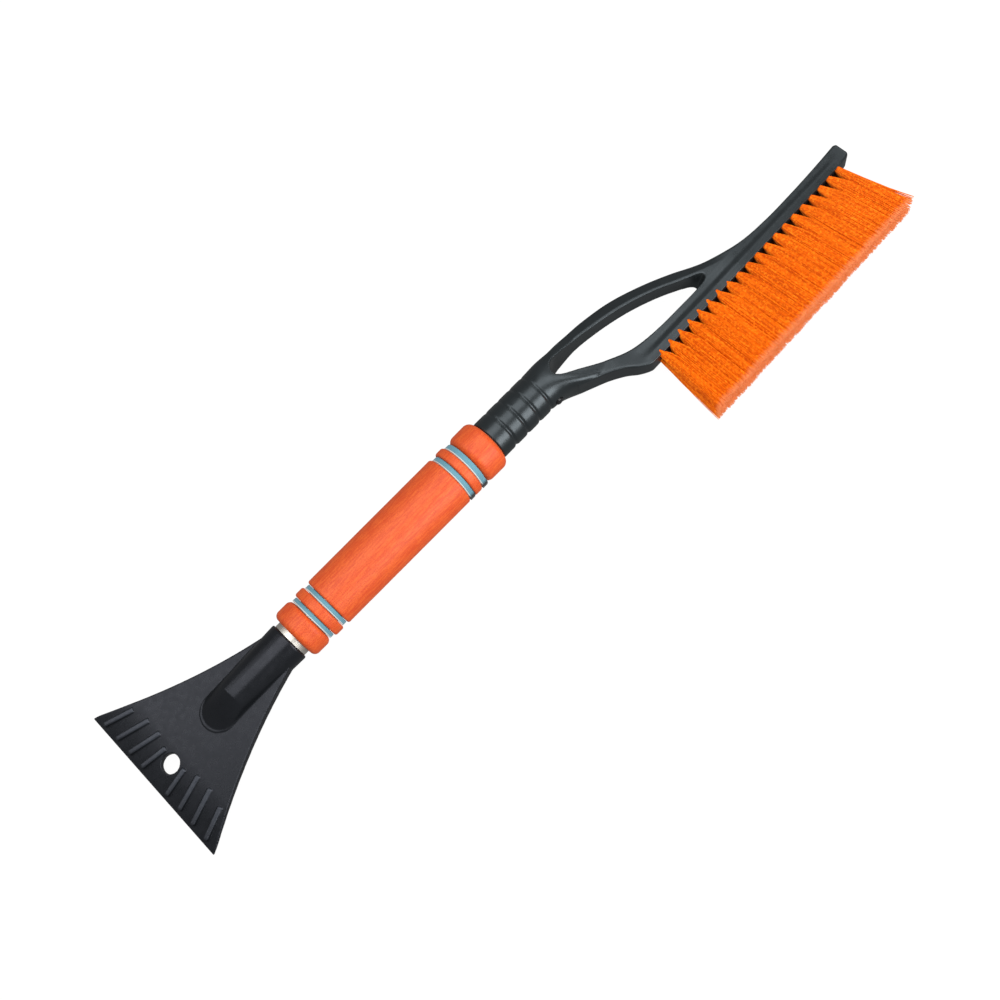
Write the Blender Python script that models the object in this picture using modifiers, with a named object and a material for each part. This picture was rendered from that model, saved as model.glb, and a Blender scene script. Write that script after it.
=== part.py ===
"""Windshield ice scraper with a snow brush, built from its separate pieces.

Tool frame: X runs along the handle from the scraper towards the brush with 0 at the lower end of
the grip, the bristles point to -Y, and +Z is the face that carries the scraper's ribs. The empty
"tool" then lays the whole tool down the way it lies on a table.
"""

import bmesh
import bpy
from math import atan2, cos, pi, radians, sin, sqrt
from mathutils import Matrix, Vector

# ---------------------------------------------------------------- driving dimensions (metres)
GAP = 0.0003                        # between pieces that touch
ROUND_STEPS = 32                    # sides of a turned piece

# how the tool lies at rest: on the grip, the back row of tufts and nothing else
REST_PITCH = radians(0.184)
REST_ROLL = radians(4.536)
REST_AT = (-0.18872, 0.01922, 0.01991)

# handle
TUBE_RADIUS = 0.0132
TUBE_WALL = 0.0012
TUBE_START = -0.0037
TUBE_END = 0.2405
PIN_X = 0.018                       # cross pin that holds the scraper's spigot
PIN_RADIUS = 0.0015

# grip: five foam sleeves with four recessed bands between them
GRIP_RADIUS_LOW = 0.0188            # at the scraper end
GRIP_RADIUS_HIGH = 0.0194           # at the brush end
GRIP_LENGTH = 0.1818
BAND_RECESS = 0.0022
GRIP_PIECES = (                     # name, length, edge rounding; a band has none
    ("grip_end_lower", 0.0153, 0.0040),
    ("grip_band_1", 0.0036, None),
    ("grip_ring_lower", 0.0078, 0.0016),
    ("grip_band_2", 0.0038, None),
    ("grip_main", 0.1145, 0.0016),
    ("grip_band_3", 0.0044, None),
    ("grip_ring_upper", 0.0071, 0.0016),
    ("grip_band_4", 0.0048, None),
    ("grip_end_upper", 0.0205, 0.0040),
)

# scraper head
SPIGOT_END = 0.032
MOUTH_X = -0.0040
MOUTH_RADIUS = 0.0148
BOSS_END_X = -0.0534
BOSS_END_RADIUS = 0.0129
NOSE_CENTRE_U = 0.0485              # along the blade from its root
NOSE_RADIUS = 0.0131
BLADE_ROOT = (-0.020, 0.0, 0.0035)
BLADE_BEND = radians(4.2)
BLADE_START_U = -0.008
BLADE_LENGTH = 0.1092
BLADE_HALF_WIDTH = (0.0150, 0.275, 1.46)   # half width at the root, its slope, its curvature
BLADE_THICK = 0.0034
RIM_DEPTH = 0.0070
RIM_WALL = 0.0022
BEVEL_LENGTH = 0.022                # the face falls away over this length to the scraping edge
BEVEL_DROP = 0.0024
RIB_PITCH = 0.01335
RIB_APEX = 0.094                    # the ribs point at a spot this far above the scraping edge
RIB_LENGTHS = (0.0184, 0.0222, 0.0224, 0.0192)
RIB_WIDTH = 0.0026
RIB_HEIGHT = 0.0028
RIB_PROUD = 0.0003                  # how far the ribs stand above the blade's face
RIB_END = 0.0045                    # from the scraping edge
HANG_HOLE_RADIUS = 0.00725
HANG_HOLE_FROM_EDGE = 0.0180

# brush frame
NECK_START = GRIP_LENGTH + 0.0006
NECK_RADIUS = 0.0156
NECK_LOBES_X = 0.1886
NECK_LOBES = 4
NECK_LOBE_PITCH = 0.0110
NECK_GROOVE = 0.0009
LOBE_STEPS = 6
SHOULDER = (                        # x, half width and half height where the neck flattens out
    (0.2356, 0.0157, 0.0157), (0.2425, 0.0158, 0.0155), (0.2485, 0.0158, 0.0135),
    (0.2535, 0.0156, 0.0110), (0.2582, 0.0150, 0.0088), (0.2622, 0.0143, 0.0072),
)
BORE_RADIUS = TUBE_RADIUS + GAP
BORE_END = TUBE_END + 0.0006
FRAME_THICK = 0.0150
FRAME_ROUNDING = 0.0018
FRAME_TOP = (                       # outer edge of the long arm and of the block's back
    (0.236, 0.0130), (0.250, 0.0135), (0.270, 0.0129), (0.290, 0.0110), (0.312, 0.0065),
    (0.335, -0.0015), (0.356, -0.0114), (0.378, -0.0229), (0.402, -0.0295), (0.428, -0.0315),
    (0.460, -0.0311), (0.488, -0.0298), (0.5040, -0.0287),
)
FRAME_TIP = ((0.5062, -0.0300), (0.5060, -0.0400), (0.5045, -0.0415), (0.4990, -0.0424))
FRAME_HEEL = (                      # from the heel back along the short arm to the neck
    (0.2995, -0.0455), (0.2955, -0.0449), (0.2880, -0.0407), (0.2800, -0.0349),
    (0.2700, -0.0289), (0.2590, -0.0240), (0.2480, -0.0200), (0.2360, -0.0170),
)
LOOP_UPPER = (                      # inner edge of the long arm
    (0.2500, 0.0046), (0.2560, 0.0057), (0.2740, 0.0053), (0.2900, 0.0031), (0.3080, -0.0005),
    (0.3240, -0.0051), (0.3400, -0.0114), (0.3520, -0.0175),
)
LOOP_LOWER = (                      # inner edge of the block and the short arm
    (0.3540, -0.0316), (0.3380, -0.0317), (0.3200, -0.0316), (0.3040, -0.0304),
    (0.2900, -0.0275), (0.2740, -0.0205), (0.2600, -0.0137), (0.2490, -0.0080), (0.2455, -0.0025),
)
LOOP_END_FRONT = ((0.3610, -0.0218), (0.3690, -0.0264), (0.3690, -0.0300))
LOOP_END_BACK = ((0.3565, -0.0204), (0.3610, -0.0242), (0.3600, -0.0292))

# tufts
TUFT_FACE_Y = -0.0454               # the block's face at the first tuft
TUFT_FACE_TILT = radians(0.9)
TUFT_COUNT = 20                     # in each of the two rows
TUFT_FIRST_X = 0.3053
TUFT_PITCH = 0.00985
TUFT_ROW_Z = 0.0037
TUFT_ROOT_RADIUS = 0.0023
TUFT_DEPTH = 0.0060                 # how far a root goes into the block
TUFT_FLARE = 0.022                  # where neighbouring tufts close up
TUFT_LENGTH_HEEL = 0.0553
TUFT_LENGTH_TIP = 0.0505
TUFT_FAN = 1.035                    # the tips stand this much further apart than the roots
TUFT_TIP_DEPTH = 0.0110             # half the brush's thickness at the tips
TUFT_SIDES = 8

# release button in the neck
BUTTON_X = 0.2355
BUTTON_RADIUS = 0.0029
BUTTON_TIP_Y = -0.0189
BUTTON_FLANGE_RADIUS = 0.0044
BUTTON_FLANGE_Y = (-0.0107, -0.0097)
BUTTON_HOLE_RADIUS = 0.0032
SPRING_WIRE = 0.0005
SPRING_WIDTH = 0.030

BLACK_ABS = (0.010, 0.011, 0.013)
SLATE_PLASTIC = (0.030, 0.036, 0.042)
ORANGE_FOAM = (0.83, 0.13, 0.02)
BLUE_BAND = (0.16, 0.37, 0.52)
ALUMINIUM = (0.80, 0.79, 0.76)
BRISTLE = (0.95, 0.22, 0.01)
SPRING_STEEL = (0.45, 0.45, 0.46)


# ---------------------------------------------------------------- scene helpers
def clear_scene():
    for obj in list(bpy.data.objects):
        bpy.data.objects.remove(obj, do_unlink=True)


def new_collection(name):
    collection = bpy.data.collections.new(name)
    bpy.context.scene.collection.children.link(collection)
    return collection


def material(name, colour, roughness, metallic=0.0):
    mat = bpy.data.materials.new(name)
    mat.use_nodes = True
    shader = mat.node_tree.nodes["Principled BSDF"]
    shader.inputs["Base Color"].default_value = (*colour, 1.0)
    shader.inputs["Roughness"].default_value = roughness
    shader.inputs["Metallic"].default_value = metallic
    return mat


def place(obj, collection):
    """Move obj into collection and hang it on the tool's empty."""
    for other in list(obj.users_collection):
        other.objects.unlink(obj)
    collection.objects.link(obj)
    obj.parent = TOOL
    return obj


def from_bmesh(name, bm, collection):
    bmesh.ops.recalc_face_normals(bm, faces=bm.faces)
    mesh = bpy.data.meshes.new(name)
    bm.to_mesh(mesh)
    bm.free()
    return place(bpy.data.objects.new(name, mesh), collection)


def finish(obj, colour, roughness, metallic=0.0, smooth_angle=35):
    obj.data.materials.clear()
    obj.data.materials.append(material(obj.name, colour, roughness, metallic))
    obj.data.shade_smooth()
    obj.data.set_sharp_from_angle(angle=radians(smooth_angle))
    return obj


def cutter(obj):
    obj.hide_render = True
    obj.display_type = "WIRE"
    return obj


def boolean(obj, tool, operation):
    mod = obj.modifiers.new(operation.title(), "BOOLEAN")
    mod.object = tool
    mod.operation = operation
    mod.solver = "EXACT"


def turned(name, profile, collection, steps=ROUND_STEPS):
    """Turn a closed profile of (x, radius) points round the handle's axis."""
    mesh = bpy.data.meshes.new(name)
    points = [(radius, 0.0, -x) for x, radius in profile]
    count = len(points)
    mesh.from_pydata(points, [(i, (i + 1) % count) for i in range(count)], [])
    obj = place(bpy.data.objects.new(name, mesh), collection)
    obj.rotation_euler = (0.0, -pi / 2, 0.0)
    screw = obj.modifiers.new("Screw", "SCREW")
    screw.axis = "Z"
    screw.steps = screw.render_steps = steps
    screw.use_merge_vertices = True
    screw.merge_threshold = 0.00001
    return obj


def rod(name, radius, start, end, collection, steps=ROUND_STEPS, end_radius=None):
    """Cylinder or cone from start to end."""
    start, end = Vector(start), Vector(end)
    bm = bmesh.new()
    turn = (end - start).to_track_quat("Z", "Y").to_matrix().to_4x4()
    bmesh.ops.create_cone(
        bm,
        cap_ends=True,
        segments=steps,
        radius1=radius,
        radius2=radius if end_radius is None else end_radius,
        depth=(end - start).length,
        matrix=Matrix.Translation((start + end) / 2) @ turn,
    )
    return from_bmesh(name, bm, collection)


def loft(name, sections, collection):
    """Skin a row of closed sections, each with the same number of points, and cap both ends."""
    bm = bmesh.new()
    rings = [[bm.verts.new(p) for p in section] for section in sections]
    count = len(rings[0])
    for ring, following in zip(rings, rings[1:]):
        for i in range(count):
            j = (i + 1) % count
            bm.faces.new((ring[i], ring[j], following[j], following[i]))
    bm.faces.new(rings[0])
    bm.faces.new(rings[-1])
    return from_bmesh(name, bm, collection)


def smooth_line(points, steps):
    """Points along a Catmull-Rom curve through the given points, steps to each span."""
    pts = [Vector(p) for p in points]
    pts = [2 * pts[0] - pts[1]] + pts + [2 * pts[-1] - pts[-2]]
    line = []
    for a, b, c, d in zip(pts, pts[1:], pts[2:], pts[3:]):
        for k in range(steps):
            t = k / steps
            line.append(
                0.5 * (2 * b + (c - a) * t + (2 * a - 5 * b + 4 * c - d) * t**2
                       + (3 * b - a - 3 * c + d) * t**3)
            )
    line.append(pts[-2])
    return line


# ---------------------------------------------------------------- handle
def make_tube():
    inner = TUBE_RADIUS - TUBE_WALL
    tube = turned(
        "handle_tube",
        [(TUBE_START, inner), (TUBE_START, TUBE_RADIUS), (TUBE_END, TUBE_RADIUS), (TUBE_END, inner)],
        PARTS,
    )
    boolean(tube, pin_cutter(), "DIFFERENCE")
    boolean(tube, button_cutter(), "DIFFERENCE")
    return finish(tube, ALUMINIUM, 0.3, 1.0)


def pin_cutter():
    reach = TUBE_RADIUS + 0.004
    ends = (PIN_X, 0, -reach), (PIN_X, 0, reach)
    return cutter(rod("pin_hole", PIN_RADIUS + GAP, *ends, CUTTERS, 12))


def button_cutter():
    ends = (BUTTON_X, -0.026, 0), (BUTTON_X, -0.006, 0)
    return cutter(rod("button_hole", BUTTON_HOLE_RADIUS, *ends, CUTTERS, 16))


def make_pin():
    half = TUBE_RADIUS - 0.0001
    pin = rod("head_cross_pin", PIN_RADIUS, (PIN_X, 0, -half), (PIN_X, 0, half), PARTS, 12)
    return finish(pin, SPRING_STEEL, 0.35, 1.0)


def make_grip():
    start = 0.0
    inner = TUBE_RADIUS + GAP
    scale = (GRIP_RADIUS_HIGH - GRIP_RADIUS_LOW) / GRIP_LENGTH
    for name, length, rounding in GRIP_PIECES:
        a, b = start + GAP / 2, start + length - GAP / 2
        ra, rb = (GRIP_RADIUS_LOW + scale * x for x in (a, b))
        if rounding is None:
            outer = [(a, ra - BAND_RECESS), (b, rb - BAND_RECESS)]
        else:
            bend = [rounding * (1 - cos(pi / 2 * k / 2)) for k in range(3)]
            outer = [(a + bend[k], ra - rounding + sqrt(rounding**2 - (rounding - bend[k]) ** 2))
                     for k in range(3)]
            outer += [(b - bend[k], rb - rounding + sqrt(rounding**2 - (rounding - bend[k]) ** 2))
                      for k in reversed(range(3))]
        piece = turned(name, [(a, inner), *outer, (b, inner)], PARTS, 24)
        finish(piece, BLUE_BAND if rounding is None else ORANGE_FOAM, 0.7)
        start += length


# ---------------------------------------------------------------- scraper head
def blade_point(u, y, z):
    """A point u along the blade from its root, in the tool frame."""
    turn = Matrix.Rotation(-BLADE_BEND, 3, "Y")
    return Vector(BLADE_ROOT) + turn @ Vector((-u, y, z))


def blade_half_width(u):
    base, slope, curve = BLADE_HALF_WIDTH
    return base + slope * u + curve * u**2


def blade_section(u):
    """Across the blade: a flat face with a rim turned down at each side."""
    w = blade_half_width(u)
    bevel_start = BLADE_LENGTH - BEVEL_LENGTH
    top = -BEVEL_DROP * max(0.0, (u - bevel_start) / BEVEL_LENGTH)
    along = max(0.0, u / BLADE_LENGTH)
    rim = -(RIM_DEPTH + (BLADE_THICK + 0.0002 - RIM_DEPTH) * along)
    chamfer = 0.0007
    half = [(0, top), (w - chamfer, top), (w, top - chamfer), (w, rim), (w - RIM_WALL, rim),
            (w - RIM_WALL, -BLADE_THICK), (0, -BLADE_THICK)]
    other = [(-y, z) for y, z in reversed(half[1:-1])]
    return [blade_point(u, y, z) for y, z in half + other]


def make_blade():
    steps = 12
    bevel_start = BLADE_LENGTH - BEVEL_LENGTH
    stations = [BLADE_START_U + (bevel_start - BLADE_START_U) * k / steps for k in range(steps + 1)]
    stations += [BLADE_LENGTH - BEVEL_LENGTH / 2, BLADE_LENGTH]
    return loft("scraper_head", [blade_section(u) for u in stations], PARTS)


def make_boss():
    """Tapered boss of the handle socket, with a nose that slopes down to the blade's face."""
    bm = bmesh.new()
    rings = ((MOUTH_X, MOUTH_RADIUS - 0.0006), (MOUTH_X - 0.0006, MOUTH_RADIUS),
             (BOSS_END_X, BOSS_END_RADIUS))
    for x, radius in rings:
        for k in range(ROUND_STEPS):
            angle = 2 * pi * k / ROUND_STEPS
            bm.verts.new((x, radius * cos(angle), radius * sin(angle)))
    for k in range(13):
        angle = pi / 2 + pi * k / 12
        u = NOSE_CENTRE_U - NOSE_RADIUS * cos(angle)
        for z in (-0.0006, 0.0006 - BLADE_THICK):
            bm.verts.new(blade_point(u, NOSE_RADIUS * sin(angle), z))
    hull = bmesh.ops.convex_hull(bm, input=bm.verts)
    inside = {v for v in hull["geom_interior"] if isinstance(v, bmesh.types.BMVert)}
    bmesh.ops.delete(bm, geom=list(inside), context="VERTS")
    return cutter(from_bmesh("boss", bm, CUTTERS))


def make_spigot():
    radius = TUBE_RADIUS - TUBE_WALL - GAP
    spigot = rod("spigot", radius, (MOUTH_X - 0.01, 0, 0), (SPIGOT_END, 0, 0), CUTTERS)
    return cutter(spigot)


def make_ribs():
    """One bar for each rib, fanned about the blade's centre line."""
    ribs = []
    for side in (-1, 1):
        for k, length in enumerate(RIB_LENGTHS):
            offset = side * RIB_PITCH * (k + 1)
            lean = atan2(offset, RIB_APEX)
            bpy.ops.mesh.primitive_cube_add(size=1)
            rib = bpy.context.object
            rib.name = f"rib_{len(ribs) + 1}"
            rib.data.transform(Matrix.Diagonal((length, RIB_WIDTH, RIB_HEIGHT, 1.0)))
            middle = RIB_END + length / 2
            u = BLADE_LENGTH - middle * cos(lean)
            y = offset - middle * sin(lean)
            at = blade_point(u, y, RIB_PROUD - RIB_HEIGHT / 2)
            turn = Matrix.Rotation(-BLADE_BEND, 4, "Y") @ Matrix.Rotation(-lean, 4, "Z")
            rib.data.transform(Matrix.Translation(at) @ turn)
            bevel = rib.modifiers.new("Bevel", "BEVEL")
            bevel.width = RIB_WIDTH * 0.3
            bevel.segments = 2
            ribs.append(cutter(place(rib, CUTTERS)))
    return ribs


def make_scraper_head():
    head = make_blade()
    for rib in make_ribs():
        boolean(head, rib, "UNION")
    boolean(head, make_boss(), "UNION")
    boolean(head, make_spigot(), "UNION")
    u = BLADE_LENGTH - HANG_HOLE_FROM_EDGE
    ends = blade_point(u, 0, -0.01), blade_point(u, 0, 0.01)
    hole = rod("hang_hole", HANG_HOLE_RADIUS, *ends, CUTTERS, 28)
    boolean(head, cutter(hole), "DIFFERENCE")
    boolean(head, bpy.data.objects["pin_hole"], "DIFFERENCE")
    return finish(head, BLACK_ABS, 0.4, smooth_angle=30)


# ---------------------------------------------------------------- brush frame
def frame_prism(name, outline, half, rounding, collection):
    """Flat piece of the given outline with rounded edges, from a filled 2D curve made a mesh."""
    curve = bpy.data.curves.new(name, "CURVE")
    curve.dimensions = "2D"
    curve.fill_mode = "BOTH"
    curve.extrude = half - rounding
    curve.bevel_depth = rounding
    curve.bevel_resolution = 1
    curve.offset = -rounding
    spline = curve.splines.new("POLY")
    spline.points.add(len(outline) - 1)
    for point, (x, y) in zip(spline.points, outline):
        point.co = (x, y, 0.0, 1.0)
    spline.use_cyclic_u = True
    source = place(bpy.data.objects.new(name + "_curve", curve), collection)
    bpy.context.view_layer.update()
    evaluated = source.evaluated_get(bpy.context.evaluated_depsgraph_get())
    mesh = bpy.data.meshes.new_from_object(evaluated)
    bm = bmesh.new()
    bm.from_mesh(mesh)
    bmesh.ops.remove_doubles(bm, verts=bm.verts, dist=0.00001)
    bpy.data.meshes.remove(mesh)
    obj = from_bmesh(name, bm, collection)
    obj.matrix_world = source.matrix_world
    bpy.data.objects.remove(source, do_unlink=True)
    return obj


def frame_outline():
    top = smooth_line(FRAME_TOP, 2)
    heel = smooth_line(FRAME_HEEL, 2)
    return [(p[0], p[1]) for p in [*top, *FRAME_TIP, *heel]]


def make_loop_cutter():
    """The opening between the arms. It is longer at the front than at the back."""
    sections = []
    reach = NECK_RADIUS + 0.004
    face = FRAME_THICK / 2 + 0.001
    for z, end in ((-reach, LOOP_END_BACK), (-face, LOOP_END_BACK),
                   (face, LOOP_END_FRONT), (reach, LOOP_END_FRONT)):
        line = smooth_line([*LOOP_UPPER, *end, *LOOP_LOWER, LOOP_UPPER[0]], 2)[:-1]
        sections.append([(p[0], p[1], z) for p in line])
    return cutter(loft("loop_opening", sections, CUTTERS))


def neck_stations():
    """(x, half width, half height) from the neck's mouth: a plain collar, rounded lobes, and then
    a shoulder that flattens into the frame."""
    stations = [
        (NECK_START, NECK_RADIUS - 0.0010, NECK_RADIUS - 0.0010),
        (NECK_START + 0.0008, NECK_RADIUS - 0.0002, NECK_RADIUS - 0.0002),
    ]
    for k in range(NECK_LOBES * LOBE_STEPS + 1):
        x = NECK_LOBES_X + NECK_LOBE_PITCH * k / LOBE_STEPS
        swell = abs(sin(pi * k / LOBE_STEPS)) ** 0.6
        radius = NECK_RADIUS - NECK_GROOVE * (1 - swell)
        stations.append((x, radius, radius))
    return stations + list(SHOULDER)


def make_neck():
    angles = [2 * pi * k / ROUND_STEPS for k in range(ROUND_STEPS)]
    sections = [
        [(x, half_y * cos(a), half_z * sin(a)) for a in angles]
        for x, half_y, half_z in neck_stations()
    ]
    return cutter(loft("neck", sections, CUTTERS))


def make_brush_frame():
    frame = frame_prism("brush_frame", frame_outline(), FRAME_THICK / 2, FRAME_ROUNDING, PARTS)
    boolean(frame, make_neck(), "UNION")
    bore = rod("bore", BORE_RADIUS, (NECK_START - 0.01, 0, 0), (BORE_END, 0, 0), CUTTERS)
    boolean(frame, cutter(bore), "DIFFERENCE")
    boolean(frame, bpy.data.objects["button_hole"], "DIFFERENCE")
    boolean(frame, make_tuft_holes(), "DIFFERENCE")
    boolean(frame, make_loop_cutter(), "DIFFERENCE")
    return finish(frame, SLATE_PLASTIC, 0.45, smooth_angle=40)


# ---------------------------------------------------------------- tufts
def tuft_frame():
    """Matrix of the block's face: X along the rows from the first tuft, -Y out of the face."""
    at = Matrix.Translation((TUFT_FIRST_X, TUFT_FACE_Y, 0.0))
    return at @ Matrix.Rotation(TUFT_FACE_TILT, 4, "Z")


def make_tuft_holes():
    bm = bmesh.new()
    proud = 0.002
    depth = TUFT_DEPTH + GAP
    radius = (TUFT_ROOT_RADIUS + GAP) / cos(pi / TUFT_SIDES)
    turn = Matrix.Rotation(pi / 2, 4, "X") @ Matrix.Rotation(pi / TUFT_SIDES, 4, "Z")
    for row in (1, -1):
        for column in range(TUFT_COUNT):
            centre = (column * TUFT_PITCH, (depth - proud) / 2, row * TUFT_ROW_Z)
            bmesh.ops.create_cone(
                bm,
                cap_ends=True,
                segments=TUFT_SIDES,
                radius1=radius,
                radius2=radius,
                depth=depth + proud,
                matrix=tuft_frame() @ Matrix.Translation(centre) @ turn,
            )
    return cutter(from_bmesh("tuft_holes", bm, CUTTERS))


def tuft_ring(x, depth, row, length):
    """Eight-sided section of a tuft whose root is at x: round at the root, filling its share of
    the brush from where neighbours close up."""
    out = max(0.0, depth) / length
    spread = min(1.0, max(0.0, depth - GAP) / (TUFT_FLARE - GAP))
    fan = 1 + (TUFT_FAN - 1) * out
    middle = TUFT_PITCH * (TUFT_COUNT - 1) / 2
    inner = TUFT_ROW_Z - TUFT_ROOT_RADIUS
    outer = TUFT_ROW_Z + TUFT_ROOT_RADIUS
    widest = TUFT_TIP_DEPTH - 0.0024 * (1 - out)
    inner += (GAP / 2 - inner) * spread
    outer += (widest - outer) * spread
    half_x = TUFT_ROOT_RADIUS + ((TUFT_PITCH * fan - GAP) / 2 - TUFT_ROOT_RADIUS) * spread
    half_z = (outer - inner) / 2
    corner = pi / TUFT_SIDES
    ring = []
    for k in range(TUFT_SIDES):
        angle = corner + 2 * corner * k
        across = middle + (x - middle) * fan + half_x * cos(angle) / cos(corner)
        up = row * (inner + outer) / 2 + half_z * sin(angle) / cos(corner)
        ring.append(tuft_frame() @ Vector((across, -depth, up)))
    return ring


def make_tufts():
    bristles = material("tuft", BRISTLE, 0.6)
    for row, row_name in ((1, "front"), (-1, "back")):
        for column in range(TUFT_COUNT):
            along = column / (TUFT_COUNT - 1)
            length = TUFT_LENGTH_HEEL + (TUFT_LENGTH_TIP - TUFT_LENGTH_HEEL) * along
            rings = [
                tuft_ring(column * TUFT_PITCH, depth, row, length)
                for depth in (-TUFT_DEPTH, GAP, TUFT_FLARE, length)
            ]
            tuft = loft(f"tuft_{row_name}_{column + 1:02d}", rings, PARTS)
            tuft.data.materials.append(bristles)
            tuft.data.shade_smooth()
            tuft.data.set_sharp_from_angle(angle=radians(40))


# ---------------------------------------------------------------- release button
def make_button():
    """Plunger with a domed tip and a flange that keeps it in the tube."""
    flange_out, flange_in = BUTTON_FLANGE_Y
    profile = [
        (flange_in, 0.0), (flange_in, BUTTON_FLANGE_RADIUS), (flange_out, BUTTON_FLANGE_RADIUS),
        (flange_out, BUTTON_RADIUS), (BUTTON_TIP_Y + 0.0009, BUTTON_RADIUS),
        (BUTTON_TIP_Y + 0.0003, BUTTON_RADIUS * 0.75), (BUTTON_TIP_Y, 0.0),
    ]
    mesh = bpy.data.meshes.new("release_button")
    points = [(radius, 0.0, y - BUTTON_TIP_Y) for y, radius in profile]
    mesh.from_pydata(points, [(i, i + 1) for i in range(len(points) - 1)], [])
    button = place(bpy.data.objects.new("release_button", mesh), PARTS)
    button.location = (BUTTON_X, BUTTON_TIP_Y, 0.0)
    button.rotation_euler = (-pi / 2, 0.0, 0.0)
    screw = button.modifiers.new("Screw", "SCREW")
    screw.axis = "Z"
    screw.steps = screw.render_steps = 16
    screw.use_merge_vertices = True
    screw.merge_threshold = 0.00001
    return finish(button, BLACK_ABS, 0.35)


def make_spring():
    """Bent wire spring between the button and the far wall of the tube."""
    wall = TUBE_RADIUS - TUBE_WALL - 2 * GAP - SPRING_WIRE
    rest = BUTTON_FLANGE_Y[1] + 2 * GAP + SPRING_WIRE
    bend_x = BUTTON_X - SPRING_WIDTH
    points = [(BUTTON_X + 0.003, rest), (BUTTON_X - 0.002, rest), (bend_x + 0.002, -0.0012),
              (bend_x, 0.0006), (bend_x + 0.0012, 0.0026), (BUTTON_X - 0.014, wall - 0.0006),
              (BUTTON_X + 0.001, wall)]
    curve = bpy.data.curves.new("button_spring", "CURVE")
    curve.dimensions = "3D"
    curve.bevel_depth = SPRING_WIRE
    curve.bevel_resolution = 2
    curve.use_fill_caps = True
    spline = curve.splines.new("POLY")
    line = smooth_line([(x, y, 0.0) for x, y in points], 3)
    spline.points.add(len(line) - 1)
    for point, p in zip(spline.points, line):
        point.co = (*p, 1.0)
    spring = place(bpy.data.objects.new("button_spring", curve), PARTS)
    curve.materials.append(material("button_spring", SPRING_STEEL, 0.3, 1.0))
    return spring


# ---------------------------------------------------------------- build
clear_scene()
PARTS = new_collection("ice_scraper")
CUTTERS = new_collection("cutters")
TOOL = bpy.data.objects.new("tool", None)
PARTS.objects.link(TOOL)
TOOL.rotation_euler = (REST_ROLL, REST_PITCH, 0.0)
TOOL.location = REST_AT

make_tube()
make_pin()
make_grip()
make_scraper_head()
make_brush_frame()
make_tufts()
make_button()
make_spring()
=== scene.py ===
"""Looks of the windshield ice scraper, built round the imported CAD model.

Lengths are in metres. Pieces are modelled in the tool frame: X runs along the handle from the
scraper towards the brush with 0 at the lower end of the grip, the bristles point to -Y and +Z is the
face with the scraper's ribs. TOOL then lays them down where the CAD model lies.
"""

from math import copysign, cos, exp, pi, radians, sin, sqrt

import bmesh
import bpy
import numpy as np
from mathutils import Euler, Matrix, Vector, noise


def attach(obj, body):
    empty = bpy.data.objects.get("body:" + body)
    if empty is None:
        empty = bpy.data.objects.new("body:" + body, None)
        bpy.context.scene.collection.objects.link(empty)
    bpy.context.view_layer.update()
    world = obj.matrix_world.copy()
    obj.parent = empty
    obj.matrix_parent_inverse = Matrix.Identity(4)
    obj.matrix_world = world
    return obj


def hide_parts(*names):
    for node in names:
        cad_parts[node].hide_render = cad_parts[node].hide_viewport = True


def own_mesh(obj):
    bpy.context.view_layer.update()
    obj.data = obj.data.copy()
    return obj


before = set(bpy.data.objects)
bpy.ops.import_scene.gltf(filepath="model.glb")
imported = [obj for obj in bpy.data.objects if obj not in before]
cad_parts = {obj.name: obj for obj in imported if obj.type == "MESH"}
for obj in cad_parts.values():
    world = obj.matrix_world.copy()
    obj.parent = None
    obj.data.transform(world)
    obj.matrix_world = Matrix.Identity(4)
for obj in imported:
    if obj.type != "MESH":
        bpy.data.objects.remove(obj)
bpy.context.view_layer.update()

# ------------------------ dimensions
# Those of the CAD model, apart from corrections of a few millimetres to outlines and bristles.
REST_PITCH = radians(0.184)
REST_ROLL = radians(4.536)
REST_AT = (-0.18872, 0.01922, 0.01991)
TOOL = Matrix.Translation(REST_AT) @ Euler((REST_ROLL, REST_PITCH, 0.0)).to_matrix().to_4x4()

GAP = 0.0003                          # clearance between pieces that touch
TUBE_RADIUS = 0.0132
TUBE_WALL = 0.0012
TUBE_START = -0.0037
TUBE_END = 0.2405
PIN_X = 0.018
PIN_RADIUS = 0.0015
CROSS_REACH = TUBE_RADIUS + 0.004     # half length of the pin hole's cutter

GRIP_RADIUS_LOW = 0.0188
GRIP_RADIUS_HIGH = 0.0194
GRIP_LENGTH = 0.1818
BAND_RECESS = 0.0016                  # how far the bands lie below the sleeves
# the two upper bands carry a small dark raised lump on the bristles' side
LUMPED_BANDS = ("grip_band_3", "grip_band_4")
LUMP_ANGLE = radians(187)             # round the handle from +Y, on the bristles' side
LUMP_HALF_ANGLE = radians(15)
LUMP_HEIGHT = 0.0018
BAND_CROWN = 0.0003                   # how far a band's edges lie below its middle
# raised lip along a band's lower edge, painted pale as a highlight
EDGE_LIP_WIDTH = 0.0009
EDGE_LIP_HEIGHT = 0.00025
GRIP_PIECES = (                     # name, length, edge rounding; a band has none
    ("grip_end_lower", 0.0153, 0.0040),
    ("grip_band_1", 0.0036, None),
    ("grip_ring_lower", 0.0078, 0.0016),
    ("grip_band_2", 0.0038, None),
    ("grip_main", 0.1145, 0.0016),
    ("grip_band_3", 0.0044, None),
    ("grip_ring_upper", 0.0071, 0.0016),
    ("grip_band_4", 0.0048, None),
    ("grip_end_upper", 0.0205, 0.0050),
)

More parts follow.
